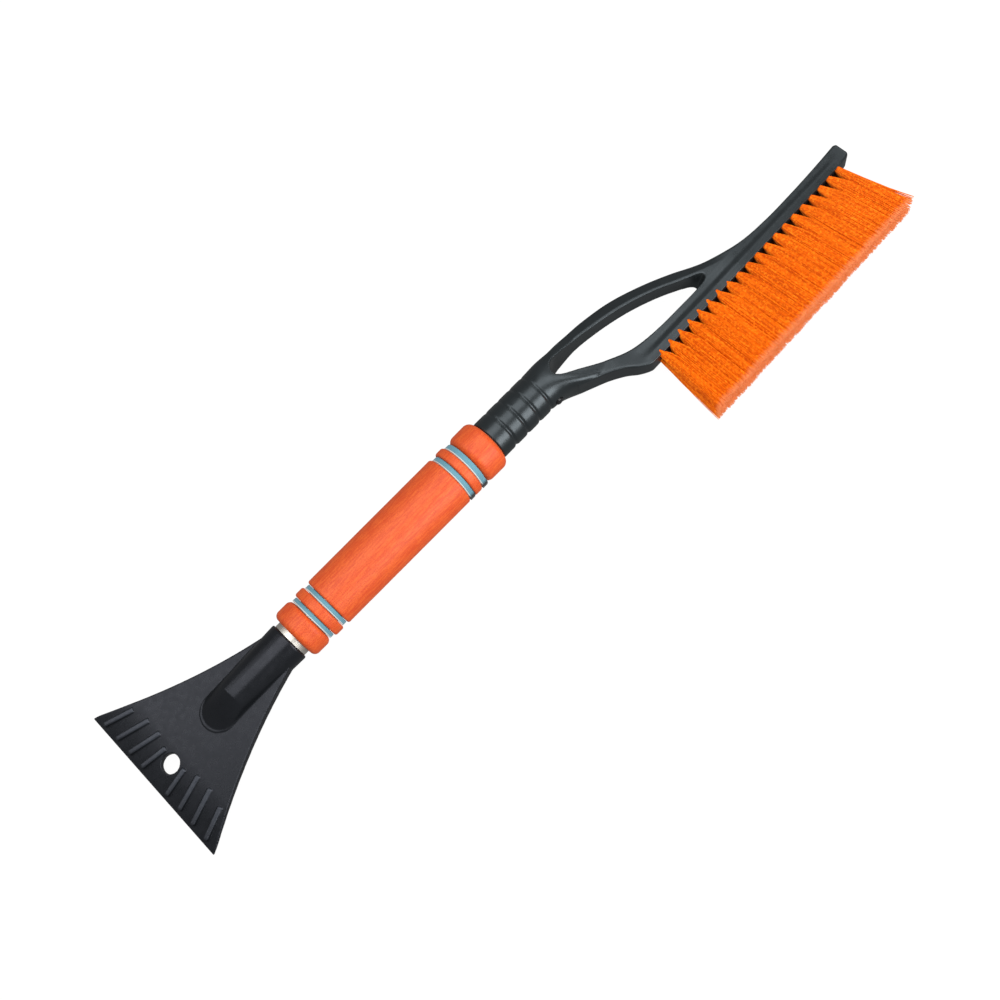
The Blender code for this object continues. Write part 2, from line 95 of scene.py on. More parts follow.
SPIGOT_END = 0.032
MOUTH_X = -0.0040
MOUTH_RADIUS = 0.0148
MOUTH_CHAMFER = 0.0006
BOSS_END_X = -0.0534
BOSS_END_RADIUS = 0.0129
NOSE_CENTRE_U = 0.0464
NOSE_RADIUS = 0.0131
NOSE_SINK = 0.0006                    # how far the nose's foot lies inside the blade's faces
BLADE_ROOT = (-0.020, 0.0, 0.0035)
BLADE_BEND = radians(4.2)
BLADE_START_U = -0.008
BLADE_LENGTH = 0.1092
BLADE_HALF_WIDTH = (0.0155, 0.275, 1.46)   # half width at the root, its slope, its curvature
BLADE_THICK = 0.0034
BLADE_CORNER = 0.0006                 # rounding of its upper edges
CORNER_TRIM = 0.0008                  # narrowing of each side towards the scraping edge
CORNER_LENGTH = 0.006                 # over this last stretch
RIM_DEPTH = 0.0070                    # of the turned-down sides, next to the handle
RIM_LEAST = 0.0002                    # how far they still stand out below at the scraping edge
RIM_WALL = 0.0022
BEVEL_LENGTH = 0.028
BEVEL_EASE = 1.6                      # how gently the bevel sets in
BEVEL_DROP = 0.0024
RIB_PITCH = 0.01335
RIB_LEANS = (9.5, 15.0, 18.0, 20.5)   # degrees, from the innermost rib outwards
RIB_LENGTHS = (0.0197, 0.0240, 0.0246, 0.0220)
RIB_WIDTH = 0.0034
RIB_ROOT = 0.0030                     # how deep a rib sits in the blade
RIB_PROUD = 0.0008
RIB_CHAMFER = 0.0006
RIB_TOP = 0.8                         # share of a rib's width between its chamfers
RIB_TAPERS = (0.7, 0.4)               # length of its lower and upper end, in half widths
RIB_BLUNTNESS = 0.25                  # of its upper end
RIB_END = 0.0030                      # from a rib's end to the scraping edge
HANG_HOLE_RADIUS = 0.00650
HANG_HOLE_FROM_EDGE = 0.0180
HANG_HOLE_DEPTH = 0.0052              # with the collar under the blade
HIGHLIGHT_RISE = (0.0002, 0.0006)          # heights over the face between which the painted highlight on a rib's top begins
HIGHLIGHT_ZONE = 0.032                     # the ribs lie within this of the scraping edge
HIGHLIGHT_FADE = (0.003, 0.022)            # distances from the edge over which the painted highlight grows
HIGHLIGHT_LEAST = 0.35                     # its share at the edge

NECK_START = GRIP_LENGTH + 0.0002     # with a hair's gap to the grip
NECK_RADIUS = 0.0152
NECK_GROOVES = (0.1940, 0.2055, 0.2170, 0.2285)
NECK_GROOVE_DEPTH = 0.0011
NECK_GROOVE_WIDTH = 0.0011
NECK_GROOVE_BIAS = 0.32               # share of their depth lost from the bristles' side to the faces
NECK_MOUTH = (0.0005, 0.0008)         # length and depth of the chamfer round its mouth
SHOULDER_WIDENS = (0.2300, 0.2540)    # where it takes on the frame's outline
SHOULDER_FLATTENS = (0.2370, 0.2780)  # where it falls to the frame's thickness
SHOULDER_SQUARE = (1.4, 2.6)          # what each of these adds to the squareness of its section
BORE_RADIUS = TUBE_RADIUS + GAP
BORE_END = TUBE_END + 2 * GAP
FRAME_THICK = 0.0150
FRAME_ROUNDING = 0.0012
FRAME_START = 0.2499                  # the shoulder alone makes the shape below this
FRAME_TOP = (                       # outer edge of the long arm and of the block's back
    (0.235, 0.0145), (0.250, 0.0133), (0.270, 0.0133), (0.290, 0.0122), (0.312, 0.0082),
    (0.335, 0.0002), (0.356, -0.0096), (0.378, -0.0218), (0.402, -0.0294), (0.428, -0.0315),
    (0.460, -0.0311), (0.488, -0.0298), (0.5040, -0.0287),
)
FRAME_TIP = ((0.5062, -0.0300), (0.5060, -0.0400), (0.5045, -0.0415), (0.4990, -0.0424))
FRAME_HEEL = (                      # from the heel back along the short arm to the neck
    (0.2995, -0.0463), (0.2945, -0.0459), (0.2870, -0.0414), (0.2800, -0.0351),
    (0.2700, -0.0289), (0.2590, -0.0240), (0.2500, -0.0202), (0.2400, -0.0174), (0.2300, -0.0160),
)
LOOP_UPPER = (                      # inner edge of the long arm
    (0.2478, 0.0042), (0.2550, 0.0057), (0.2740, 0.0053), (0.2900, 0.0031), (0.3080, -0.0005),
    (0.3240, -0.0051), (0.3400, -0.0114), (0.3520, -0.0175),
)
LOOP_LOWER = (                      # inner edge of the block and the short arm
    (0.3540, -0.0316), (0.3380, -0.0317), (0.3200, -0.0316), (0.3040, -0.0304),
    (0.2900, -0.0275), (0.2740, -0.0205), (0.2600, -0.0137), (0.2475, -0.0080), (0.2435, -0.0024),
)
LOOP_END_FRONT = ((0.3600, -0.0211), (0.3664, -0.0243), (0.3690, -0.0276), (0.3655, -0.0307))
LOOP_END_BACK = ((0.3560, -0.0200), (0.3600, -0.0230), (0.3614, -0.0264), (0.3590, -0.0298))

TUFT_FACE_Y = -0.0454
TUFT_FACE_TILT = radians(0.9)
TUFT_COUNT = 20
TUFT_FIRST_X = 0.3053
TUFT_PITCH = 0.00985
TUFT_ROW_Z = 0.0037
TUFT_ROOT_RADIUS = 0.0023
TUFT_DEPTH = 0.0060                   # of the holes in the block
TUFT_FLARE_HEEL = 0.0100              # depth at which the first tuft has spread to its full width
TUFT_FLARE_TIP = 0.0170               # and the last one
TUFT_INNER_FLARE = 0.0016             # and the bristles next to the other row
TUFT_FLARE_VARIES = (0.85, 1.15)
TUFT_FLARE_EASE = 0.4                 # how much faster it spreads at first
TUFT_INNER_SIDE = (-0.25, 0.50)       # in radii across it: where its inner side begins, is complete
TUFT_OUTER_SIDE = (0.0, 0.7)          # the same for the free sides of the end tufts
TUFT_END_HOOK = 0.0020                # how far the last tuft's outer side bends out at its tip
TUFT_LENGTH_HEEL = 0.0571
TUFT_LENGTH_TIP = 0.0566
TUFT_LENGTH_STRAY = 0.0006
TUFT_FAN = 1.035                      # how much longer the rows are at the bristles' tips
TUFT_TIP_DEPTH = 0.0110               # thickness of a row at the tips
TUFT_THINNER = 0.0024                 # how much thinner it starts

BUTTON_X = 0.2355
BUTTON_RADIUS = 0.0029
BUTTON_TIP_Y = -0.0170
BUTTON_DOME = 0.0009
BUTTON_FLANGE_RADIUS = 0.0044
BUTTON_FLANGE_Y = (-0.0107, -0.0097)
BUTTON_HOLE_RADIUS = 0.0032
BUTTON_HOLE_Y = (-0.026, -0.006)
SPRING_WIRE = 0.0005
SPRING_WIDTH = 0.030

# ------------------------ fineness and detail
ROUND_STEPS = 128                   # sides of a turned piece
LINE_STEPS = 5                      # steps to each span of a smooth outline
SCRAPER_VOXEL = 0.0004
FRAME_VOXEL = 0.00045
SCRAPER_SOFTENING = 4               # smoothing rounds of the moulded edges
FRAME_SOFTENING = 7
FACE_TRUED = 0.00012                # unevenness that is taken out of the blade's face
FACE_MARGIN = 0.0012                # left alone along its sides
NOSE_LIP = 0.0003                   # step round the foot of the scraper's nose
ARM_INTO_BLOCK = ((0.3780, -0.0290), (0.400, -0.0360))   # on from the end of its inner edge
LONG_ARM = ((0.258, 0.275), (0.362, 0.395))   # where its shape sets in and where it dies out
BLOCK = ((0.288, 0.312), (0.485, 0.500))
LOOP = ((0.272, 0.296), (0.362, 0.392))
ARM_SLOPE = 0.0021                  # how far the long arm's faces fall to its outer edge
ARM_RIDGE = 0.22                    # share of its width that stays level, along the inner edge
BLOCK_DISH = 0.0007                 # depth of the dished channel in the block's faces
CHANNEL_MIDDLE = 0.0090             # from the block's bristle side
CHANNEL_HALF_WIDTH = 0.0048
BLOCK_ROLL = 0.0007                 # how far they roll off next to the bristles
BLOCK_ROLL_DEPTHS = (0.0005, 0.0048)   # from there to where they are level again
BLOCK_STEP = 0.0009                 # how far the loop's faces lie below the block's and the neck's
FOAM_STEP = 0.0009
FOAM_LUMPS = 0.00005
FOAM_LUMP_SIZES = (0.011, 0.0025)
SKIN_OVER_BORE = 0.001              # what lies further out than this isn't the bore's wall
BRISTLES = 210                      # in each tuft
BRISTLE_RADIUS = 0.00021
BRISTLE_STEPS = 8
BRISTLE_STEP_GROWTH = 1.25          # the steps are shorter near the block
BRISTLE_SINK = 0.0045               # how far a bristle goes into its hole
BRISTLE_CRIMP = 0.00010
BRISTLE_WAVES = (0.012, 0.020)      # shortest and longest wave of the crimp
BRISTLE_STRAY = 0.05                # how unevenly the bristles fill their cell
BRISTLE_LEAN = 0.0005               # how far a bristle strays sideways at its tip
BRISTLE_TRIM = 0.0022               # how uneven the cut ends are
SHADE_DEPTHS = (0.006, 0.022)       # where the shade between the rows fades out
GOLDEN_ANGLE = pi * (3 - sqrt(5))
AXIS_BORE = 0.00002                 # closes the profile of a solid turned piece next to its axis


# ------------------------ mesh helpers
def new_object(name, data):
    obj = bpy.data.objects.new(name, data)
    bpy.context.scene.collection.objects.link(obj)
    return obj


def add_mesh(name, points, faces):
    mesh = bpy.data.meshes.new(name)
    mesh.from_pydata([tuple(p) for p in points], [], faces)
    return new_object(name, mesh)


def mesh_object(name, bm):
    """Object of a finished bmesh."""
    mesh = bpy.data.meshes.new(name)
    bm.to_mesh(mesh)
    bm.free()
    return new_object(name, mesh)


def face_out(obj):
    bm = bmesh.new()
    bm.from_mesh(obj.data)
    bmesh.ops.recalc_face_normals(bm, faces=bm.faces)
    bm.to_mesh(obj.data)
    bm.free()
    return obj


def evaluated_mesh(obj):
    """New mesh of an object with its modifiers, or of a curve."""
    bpy.context.view_layer.update()
    evaluated = obj.evaluated_get(bpy.context.evaluated_depsgraph_get())
    return bpy.data.meshes.new_from_object(evaluated)


def apply_modifiers(obj):
    mesh = evaluated_mesh(obj)
    obj.modifiers.clear()
    old, obj.data = obj.data, mesh
    bpy.data.meshes.remove(old)
    return obj


def combine(obj, other, operation, solver="EXACT"):
    mod = obj.modifiers.new(operation.title(), "BOOLEAN")
    mod.object, mod.operation, mod.solver = other, operation, solver
    apply_modifiers(obj)
    bpy.data.objects.remove(other, do_unlink=True)
    return obj


def join(name, objects):
    """One object of several closed meshes."""
    bm = bmesh.new()
    for obj in objects:
        bm.from_mesh(obj.data)
        bpy.data.objects.remove(obj, do_unlink=True)
    return mesh_object(name, bm)


def mould(obj, voxel, softening):
    """Melt overlapping bodies into one skin of even quads, and round its edges."""
    remesh = obj.modifiers.new("Remesh", "REMESH")
    remesh.mode = "VOXEL"
    remesh.voxel_size = voxel
    smooth = obj.modifiers.new("Smooth", "SMOOTH")
    smooth.factor = 0.5
    smooth.iterations = softening
    return apply_modifiers(obj)


def strip(count, a, b):
    """Quads between two closed rings of count points, which start at points a and b."""
    return [(a + i, a + (i + 1) % count, b + (i + 1) % count, b + i) for i in range(count)]


def loft(name, sections):
    """Skin a row of closed sections, each with the same number of points, and cap both ends."""
    count = len(sections[0])
    points = [p for section in sections for p in section]
    faces = [tuple(range(count)), tuple(range(len(points) - count, len(points)))]
    for row in range(len(sections) - 1):
        faces += strip(count, row * count, (row + 1) * count)
    return face_out(add_mesh(name, points, faces))


def turned(name, profile, steps=ROUND_STEPS):
    """Turn a closed profile of (x, radius) points round the handle's axis."""
    angles = [2 * pi * k / steps for k in range(steps)]
    points = [(x, r * cos(a), r * sin(a)) for a in angles for x, r in profile]
    count = len(profile)
    faces = []
    for k in range(steps):
        faces += strip(count, k * count, (k + 1) % steps * count)
    return face_out(add_mesh(name, points, faces))


def rod(name, radius, start, end, steps=48):
    start, end = Vector(start), Vector(end)
    turn = (end - start).to_track_quat("Z", "Y").to_matrix()
    ring = [turn @ Vector((radius * cos(2 * pi * k / steps), radius * sin(2 * pi * k / steps), 0))
            for k in range(steps)]
    return loft(name, [[start + p for p in ring], [end + p for p in ring]])


def smooth_line(points, steps=LINE_STEPS):
    """Points along a Catmull-Rom curve through the given points, steps to each span."""
    pts = [Vector(p) for p in points]
    pts = [2 * pts[0] - pts[1]] + pts + [2 * pts[-1] - pts[-2]]
    line = []
    for a, b, c, d in zip(pts, pts[1:], pts[2:], pts[3:]):
        for k in range(steps):
            t = k / steps
            line.append(
                0.5 * (2 * b + (c - a) * t + (2 * a - 5 * b + 4 * c - d) * t**2
                       + (3 * b - a - 3 * c + d) * t**3)
            )
    line.append(pts[-2])
    return line


def line_height(points, x):
    """Height of an outline above x, between its given points."""
    line = smooth_line(points)
    return np.interp(x, [p[0] for p in line], [p[1] for p in line])


def smooth_step(value, low, high):
    t = np.clip((value - low) / (high - low), 0.0, 1.0)
    return t * t * (3 - 2 * t)


def within(value, stretch):
    """1 inside a stretch and 0 outside, easing over both its ends."""
    sets_in, dies_out = stretch
    return smooth_step(value, *sets_in) * (1 - smooth_step(value, *dies_out))


def vertices(obj):
    flat = np.zeros(len(obj.data.vertices) * 3)
    obj.data.vertices.foreach_get("co", flat)
    return flat.reshape(-1, 3)


def set_vertices(obj, points):
    obj.data.vertices.foreach_set("co", points.ravel())
    obj.data.update()


def attribute(obj, name, values):
    layer = obj.data.attributes.new(name, "FLOAT", "POINT")
    layer.data.foreach_set("value", np.asarray(values, np.float32))


def lay(obj, node, body, surface, sharp_angle=None):
    """Lay a finished piece down in the place of its CAD node."""
    obj.data.transform(TOOL)
    obj.data.materials.clear()
    obj.data.materials.append(surface)
    obj.data.shade_smooth()
    if sharp_angle:
        obj.data.set_sharp_from_angle(angle=radians(sharp_angle))
    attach(obj, body)
    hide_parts(node)
    return obj


# ------------------------ materials
class Surface:
    """A Principled material built up from layers of procedural detail."""

    def __init__(self, name, colour, roughness, metallic=0.0, specular=0.5):
        self.material = bpy.data.materials.new(name)
        self.material.use_nodes = True
        self.tree = self.material.node_tree
        self.shader = self.tree.nodes["Principled BSDF"]
        self.set("Base Color", (*colour, 1.0))
        self.set("Roughness", roughness)
        self.set("Metallic", metallic)
        self.set("Specular IOR Level", specular)
        self.place = self.tree.nodes.new("ShaderNodeTexCoord").outputs["Object"]
        self.bumps = None

    def set(self, name, value):
        self.shader.inputs[name].default_value = value

    def link(self, source, target):
        self.tree.links.new(source, target)

    def stretched(self, stretch):
        """Object coordinates scaled along each axis."""
        mapping = self.tree.nodes.new("ShaderNodeMapping")
        mapping.inputs["Scale"].default_value = stretch
        self.link(self.place, mapping.inputs["Vector"])
        return mapping.outputs["Vector"]

    def noise(self, size, detail=3.0, stretch=(1.0, 1.0, 1.0)):
        """Noise whose lumps are about size across."""
        node = self.tree.nodes.new("ShaderNodeTexNoise")
        node.inputs["Scale"].default_value = 1.0 / size
        node.inputs["Detail"].default_value = detail
        self.link(self.stretched(stretch), node.inputs["Vector"])
        return node.outputs["Fac"]

    def cells(self, size):
        node = self.tree.nodes.new("ShaderNodeTexVoronoi")
        node.inputs["Scale"].default_value = 1.0 / size
        self.link(self.place, node.inputs["Vector"])
        return node.outputs["Distance"]

    def attribute(self, name):
        node = self.tree.nodes.new("ShaderNodeAttribute")
        node.attribute_name = name
        return node.outputs["Fac"]

    def ramp(self, factor, low, high, low_value=0.0, high_value=1.0):
        node = self.tree.nodes.new("ShaderNodeMapRange")
        for name, value in (("From Min", low), ("From Max", high),
                            ("To Min", low_value), ("To Max", high_value)):
            node.inputs[name].default_value = value
        self.link(factor, node.inputs["Value"])
        return node.outputs["Result"]

    def blend(self, factor, colour_a, colour_b, mode="MIX"):
        """Mix two colours, each a tuple or another node's output."""
        node = self.tree.nodes.new("ShaderNodeMix")
        node.data_type = "RGBA"
        node.blend_type = mode
        self.link(factor, node.inputs["Factor"])
        for socket, colour in zip((node.inputs[6], node.inputs[7]), (colour_a, colour_b)):
            if isinstance(colour, tuple):
                socket.default_value = (*colour, 1.0)
            else:
                self.link(colour, socket)
        return node.outputs[2]

    def colour(self, output):
        self.link(output, self.shader.inputs["Base Color"])

    def roughness(self, factor, low, high):
        self.link(self.ramp(factor, 0.3, 0.7, low, high), self.shader.inputs["Roughness"])

    def bump(self, height, distance, strength=1.0):
        node = self.tree.nodes.new("ShaderNodeBump")
        node.inputs["Distance"].default_value = distance
        node.inputs["Strength"].default_value = strength
        self.link(height, node.inputs["Height"])
        if self.bumps:
            self.link(self.bumps, node.inputs["Normal"])
        self.bumps = node.outputs["Normal"]
        self.link(self.bumps, self.shader.inputs["Normal"])


def scraper_plastic():
    surface = Surface("scraper_plastic", (0.006, 0.007, 0.009), 0.28, specular=0.38)
    surface.set("Specular Tint", (0.84, 0.87, 1.0, 1.0))
    cloud = surface.noise(0.012, 4.0)
    base = surface.blend(cloud, (0.005, 0.006, 0.007), (0.009, 0.010, 0.012))
    # painted highlight: the rib tops lighter and bluer, weakest at the scraping edge
    surface.colour(surface.blend(surface.attribute("painted_rib_highlight"), base, (0.032, 0.036, 0.044)))
    surface.roughness(surface.noise(0.004, 5.0), 0.24, 0.34)
    surface.bump(surface.noise(0.00035, 2.0), 0.00002, 0.12)
    surface.bump(surface.noise(0.006, 2.0), 0.00010, 0.25)
    return surface.material


def frame_plastic():
    surface = Surface("frame_plastic", (0.011, 0.013, 0.014), 0.30, specular=0.60)
    surface.set("Specular Tint", (0.82, 0.93, 1.0, 1.0))
    cloud = surface.noise(0.015, 4.0)
    surface.colour(surface.blend(cloud, (0.009, 0.011, 0.012), (0.014, 0.017, 0.018)))
    surface.roughness(surface.noise(0.005, 5.0), 0.26, 0.36)
    surface.bump(surface.noise(0.00040, 2.0), 0.00002, 0.15)
    surface.bump(surface.noise(0.008, 2.0), 0.00012, 0.25)
    return surface.material


def button_plastic():
    surface = Surface("button_plastic", (0.010, 0.010, 0.011), 0.3)
    surface.roughness(surface.noise(0.001, 3.0), 0.24, 0.36)
    surface.bump(surface.noise(0.0004, 2.0), 0.00001, 0.3)
    return surface.material


def orange_foam():
    """Closed-cell foam: fine cells with painted shade in their hollows, a soft mottle and a dusty
    sheen.
    """
    surface = Surface("orange_foam", (0.70, 0.10, 0.012), 0.52, specular=0.45)
    surface.set("Sheen Weight", 0.03)
    surface.set("Sheen Roughness", 0.4)
    surface.set("Sheen Tint", (1.0, 0.75, 0.6, 1.0))
    mottle = surface.noise(0.006, 6.0)
    base = surface.blend(mottle, (0.66, 0.082, 0.007), (0.74, 0.125, 0.016))
    grain = surface.ramp(surface.noise(0.0011, 3.0, (0.12, 1.0, 1.0)), 0.38, 0.62)
    base = surface.blend(grain, (0.60, 0.062, 0.005), base)
    # painted shade in the hollows of the cells
    pore_shade = surface.ramp(surface.cells(0.0009), 0.05, 0.42)
    surface.colour(surface.blend(pore_shade, (0.50, 0.036, 0.003), base))
    surface.bump(surface.cells(0.0009), 0.00012, 0.5)
    surface.bump(surface.noise(0.0022, 4.0), 0.00012, 0.45)
    return surface.material


def blue_band():
    """Woven band with a painted highlight, a pale stripe along its edge on the scraper's side."""
    surface = Surface("blue_band", (0.10, 0.26, 0.34), 0.6, specular=0.3)
    surface.set("Sheen Weight", 0.2)
    thread = surface.noise(0.0007, 2.0, (1.0, 0.25, 0.25))
    cloth = surface.blend(thread, (0.085, 0.23, 0.30), (0.13, 0.31, 0.38))
    # painted highlight: a pale stripe along the raised lip
    cloth = surface.blend(surface.attribute("painted_edge_highlight"), cloth, (0.52, 0.55, 0.53))
    # near black on the raised lump
    surface.colour(surface.blend(surface.attribute("dark_lump"), cloth, (0.010, 0.008, 0.011)))
    surface.bump(surface.noise(0.0005, 2.0, (2.0, 0.5, 0.5)), 0.00008, 0.6)
    return surface.material


def tube_metal():
    """Drawn aluminium, with fine lines along it."""
    surface = Surface("tube_metal", (0.90, 0.87, 0.80), 0.44, metallic=1.0)
    lines = surface.noise(0.0004, 4.0, (0.02, 1.0, 1.0))
    surface.colour(surface.blend(lines, (0.78, 0.75, 0.68), (0.89, 0.86, 0.79)))
    surface.roughness(lines, 0.38, 0.52)
    surface.bump(lines, 0.00002, 0.4)
    return surface.material


def steel():
    surface = Surface("steel", (0.42, 0.42, 0.43), 0.3, metallic=1.0)
    streaks = surface.noise(0.0003, 3.0, (0.1, 1.0, 1.0))
    surface.colour(surface.blend(streaks, (0.36, 0.36, 0.37), (0.50, 0.50, 0.51)))
    surface.roughness(streaks, 0.22, 0.38)
    surface.bump(streaks, 0.00001, 0.3)
    return surface.material


def bristle_nylon():
    """Bright orange nylon with a painted glow: it emits its own colour. Each bristle has its own tone,
    with painted shade deep between the rows, and is paler at its cut end, partly its own paler cut
    and partly a painted highlight on the lit tips."""
    surface = Surface("bristle_nylon", (1.0, 0.24, 0.01), 0.5, specular=0.15)
    tone = surface.blend(surface.attribute("tone"), (0.54, 0.072, 0.000), (0.88, 0.180, 0.002))
    # painted highlights and painted shadows: random lighter and darker patches across the bristles
    painted_highlights = surface.ramp(surface.noise(0.0016, 4.0), 0.50, 0.62)
    tone = surface.blend(painted_highlights, tone, (0.93, 0.250, 0.009))
    shadows = surface.ramp(surface.noise(0.0026, 3.0), 0.52, 0.66, 0.0, 0.5)
    tone = surface.blend(shadows, tone, (0.50, 0.055, 0.000))
    # paler cut ends: partly their own paler tone, partly a painted highlight on the lit tips
    cut = surface.ramp(surface.attribute("along"), 0.94, 1.0)
    paler = surface.blend(surface.noise(0.0030, 3.0), (0.66, 0.15, 0.030), (0.80, 0.34, 0.150))
    tone = surface.blend(cut, tone, paler)
    tone = surface.blend(surface.attribute("shade"), tone, (0.045, 0.010, 0.001))
    surface.colour(tone)
    # painted glow: the bristles emit their own colour
    surface.link(tone, surface.shader.inputs["Emission Color"])
    surface.set("Emission Strength", 0.15)
    surface.bump(surface.noise(0.0015, 2.0, (1.0, 0.2, 1.0)), 0.00003, 0.4)
    return surface.material


# ------------------------ handle
def cross_hole(x, radius, start, end, axis):
    """Cutter for a hole across the handle, along axis 1 for Y or 2 for Z."""
    ends = [[x, 0.0, 0.0], [x, 0.0, 0.0]]
    ends[0][axis], ends[1][axis] = start, end
    return rod("hole", radius, *ends)


def pin_hole():
    return cross_hole(PIN_X, PIN_RADIUS + GAP, -CROSS_REACH, CROSS_REACH, 2)


def button_hole():
    return cross_hole(BUTTON_X, BUTTON_HOLE_RADIUS, *BUTTON_HOLE_Y, 1)


def make_tube(surface):
    inner = TUBE_RADIUS - TUBE_WALL
    edge = 0.0002
    profile = [(TUBE_START, inner), (TUBE_START, TUBE_RADIUS - edge),
               (TUBE_START + edge, TUBE_RADIUS), (TUBE_END - edge, TUBE_RADIUS),
               (TUBE_END, TUBE_RADIUS - edge), (TUBE_END, inner)]
    tube = turned("handle_tube_drawn", profile)
    combine(tube, pin_hole(), "DIFFERENCE")
    combine(tube, button_hole(), "DIFFERENCE")
    lay(tube, "handle_tube", "handle", surface, 30)


def foam_sleeve(name, a, b, ra, rb, rounding, surface):
    """Foam sleeve with soft rounded ends and a slightly lumpy skin."""
    inner = TUBE_RADIUS + GAP
    turns = [pi / 2 * k / 8 for k in range(9)]
    left = [(a + rounding * (1 - sin(t)), ra - rounding * (1 - cos(t))) for t in reversed(turns)]
    right = [(b - rounding * (1 - sin(t)), rb - rounding * (1 - cos(t))) for t in turns]
    (x0, r0), (x1, r1) = left[-1], right[0]
    count = max(1, round((x1 - x0) / FOAM_STEP))
    middle = [(x0 + (x1 - x0) * k / count, r0 + (r1 - r0) * k / count) for k in range(1, count)]
    profile = [(a, inner), *left, *middle, *right, (b, inner)]
    sleeve = turned(name + "_foam", profile)
    for vertex in sleeve.data.vertices:
        x, y, z = vertex.co
        radius = sqrt(y * y + z * z)
        if radius > inner + SKIN_OVER_BORE:
            coarse, fine = (noise.noise(vertex.co / size) for size in FOAM_LUMP_SIZES)
            scale = 1 + (coarse + 0.5 * fine - 1.0) * FOAM_LUMPS / radius
            vertex.co = (x, y * scale, z * scale)
    lay(sleeve, name, "handle", surface, 60)


def woven_band(name, a, b, ra, rb, surface):
    """Recessed band, slightly crowned, with a raised lip along its lower edge that carries a painted
    highlight. The upper two carry a small dark raised lump on the bristles' side."""
    inner = TUBE_RADIUS + GAP
    steps = 24
    profile = [(a, inner)]
    for k in range(steps + 1):
        t = k / steps
        x = a + (b - a) * t
        radius = ra + (rb - ra) * t - BAND_RECESS - BAND_CROWN * (2 * t - 1) ** 4
        if x - a < EDGE_LIP_WIDTH:
            radius += EDGE_LIP_HEIGHT * sin(pi * (x - a) / EDGE_LIP_WIDTH)
        profile.append((x, radius))
    profile.append((b, inner))
    band = turned(name + "_woven", profile)
    points = vertices(band)
    # painted highlight along the raised lip
    painted_edge_highlight = 1 - smooth_step(points[:, 0], a + 0.8 * EDGE_LIP_WIDTH, a + EDGE_LIP_WIDTH)
    attribute(band, "painted_edge_highlight", painted_edge_highlight)
    # a small dark raised lump on the bristles' side
    if name in LUMPED_BANDS:
        radius = np.hypot(points[:, 1], points[:, 2])
        away = np.abs(np.arctan2(points[:, 2], points[:, 1]) % (2 * pi) - LUMP_ANGLE)
        dark_lump = 1 - smooth_step(away, LUMP_HALF_ANGLE * 0.7, LUMP_HALF_ANGLE)
        dark_lump = dark_lump * (radius > inner + SKIN_OVER_BORE)
        points[:, 1:] *= (1 + dark_lump * LUMP_HEIGHT / radius)[:, None]
        set_vertices(band, points)
        attribute(band, "dark_lump", dark_lump)
    lay(band, name, "handle", surface, 60)


def make_grip(foam, woven):
    start = 0.0
    scale = (GRIP_RADIUS_HIGH - GRIP_RADIUS_LOW) / GRIP_LENGTH
    for name, length, rounding in GRIP_PIECES:
        a, b = start + GAP / 2, start + length - GAP / 2
        ra, rb = (GRIP_RADIUS_LOW + scale * x for x in (a, b))
        if rounding is None:
            woven_band(name, a, b, ra, rb, woven)
        else:
            foam_sleeve(name, a, b, ra, rb, rounding, foam)
        start += length


# ------------------------ scraper head
def blade_point(u, y, z):
    """A point u along the blade from its root, in the tool frame."""
    turn = Matrix.Rotation(-BLADE_BEND, 3, "Y")
    return Vector(BLADE_ROOT) + turn @ Vector((-u, y, z))


def blade_half_width(u):
    base, slope, curve = BLADE_HALF_WIDTH
    return base + slope * u + curve * u**2


def blade_top(u):
    """Height of the blade's face: flat, then a bevel that sets in gently."""
    down_bevel = np.clip((u - BLADE_LENGTH + BEVEL_LENGTH) / BEVEL_LENGTH, 0.0, None)
    return -BEVEL_DROP * down_bevel**BEVEL_EASE


def blade_section(u):
    """Across the blade: a flat face with a rim turned down at each side."""
    trimmed = max(0.0, (u - BLADE_LENGTH + CORNER_LENGTH) / CORNER_LENGTH) ** 2
    w = blade_half_width(u) - CORNER_TRIM * trimmed
    top = blade_top(u)
    along = max(0.0, u / BLADE_LENGTH)
    rim = -(RIM_DEPTH + (BLADE_THICK + RIM_LEAST - RIM_DEPTH) * along)
    half = [(0, top)]
    for k in range(4):
        turn = pi / 2 * k / 3
        half.append((w - BLADE_CORNER * (1 - sin(turn)), top - BLADE_CORNER * (1 - cos(turn))))
    half += [(w, rim), (w - RIM_WALL, rim), (w - RIM_WALL, -BLADE_THICK), (0, -BLADE_THICK)]
    other = [(-y, z) for y, z in reversed(half[1:-1])]
    return [blade_point(u, y, z) for y, z in half + other]


def make_blade():
    bevel_start = BLADE_LENGTH - BEVEL_LENGTH
    stations = [BLADE_START_U + (bevel_start - BLADE_START_U) * k / 60 for k in range(60)]
    stations += [bevel_start + BEVEL_LENGTH * k / 16 for k in range(17)]
    return loft("blade", [blade_section(u) for u in stations])


def nose_arc(radius):
    """Round end of the nose, as points of the blade: the way along it and across it."""
    angles = [pi / 2 + pi * k / 40 for k in range(41)]
    return [(NOSE_CENTRE_U - radius * cos(a), radius * sin(a)) for a in angles]


